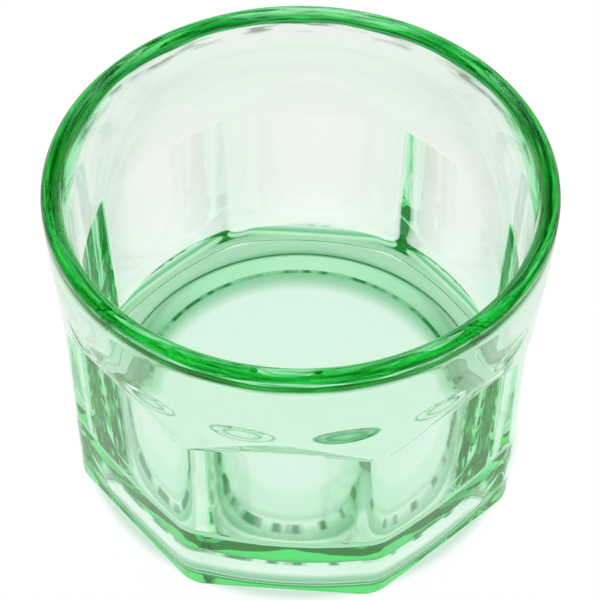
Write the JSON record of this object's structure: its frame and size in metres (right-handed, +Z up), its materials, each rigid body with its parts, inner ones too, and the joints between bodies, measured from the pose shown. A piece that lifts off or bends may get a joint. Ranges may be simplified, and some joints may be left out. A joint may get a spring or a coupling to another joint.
{
  "type": "drinking glass",
  "caption": "Low pressed-glass tumbler in green glass: round rim with a rounded lip, octagonal body with flat panels, thick base with a recessed underside.",
  "frame": {"origin": "centre of the ring the glass stands on, at table height", "axes": "+Z up along the glass's axis, -Y out of one flat panel"},
  "size_m": [0.079, 0.079, 0.06],
  "materials": {
    "green_glass": "clear, fire-polished"
  },
  "bodies": {
    "root": {"tumbler": "green_glass"}
  },
  "joints": []
}
